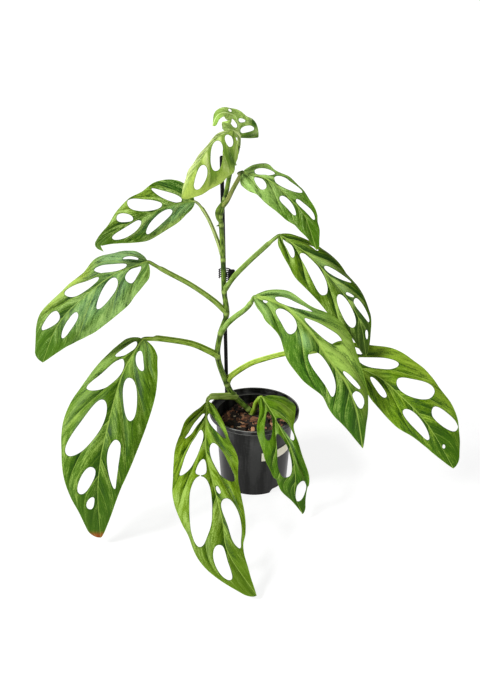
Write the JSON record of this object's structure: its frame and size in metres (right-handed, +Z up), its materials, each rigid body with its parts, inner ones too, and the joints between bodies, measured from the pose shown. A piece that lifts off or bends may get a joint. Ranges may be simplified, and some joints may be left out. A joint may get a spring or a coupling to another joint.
{
  "type": "potted climbing house plant",
  "caption": "Climbing house plant with long leaves pierced by oval holes, on a thick stem clipped to a black stake in a round plastic nursery pot of bark soil.",
  "frame": {"origin": "centre of the pot's underside, on the surface that it stands on", "axes": "+Z up; -Y towards the viewer of the picture, where the lowest leaves reach out; +X to the viewer's right"},
  "size_m": [0.5205, 0.3111, 0.5031],
  "materials": {
    "pot": "satin",
    "soil": "matte",
    "stake": "satin",
    "clip": "satin",
    "label": "matte",
    "stem": "satin",
    "leaf_01": "satin",
    "leaf_02": "satin",
    "leaf_03": "satin",
    "leaf_04": "satin",
    "leaf_05": "satin",
    "leaf_06": "satin",
    "leaf_07": "satin",
    "leaf_08": "satin",
    "leaf_09": "satin",
    "leaf_10": "satin",
    "leaf_11": "satin"
  },
  "bodies": {
    "root": {"pot": "pot", "soil": "soil", "stake": "stake", "clip": "clip", "label": "label", "stem": "stem", "leaf_01": "leaf_01", "leaf_02": "leaf_02", "leaf_03": "leaf_03", "leaf_04": "leaf_04", "leaf_05": "leaf_05", "leaf_06": "leaf_06", "leaf_07": "leaf_07", "leaf_08": "leaf_08", "leaf_09": "leaf_09", "leaf_10": "leaf_10", "leaf_11": "leaf_11"}
  },
  "joints": []
}
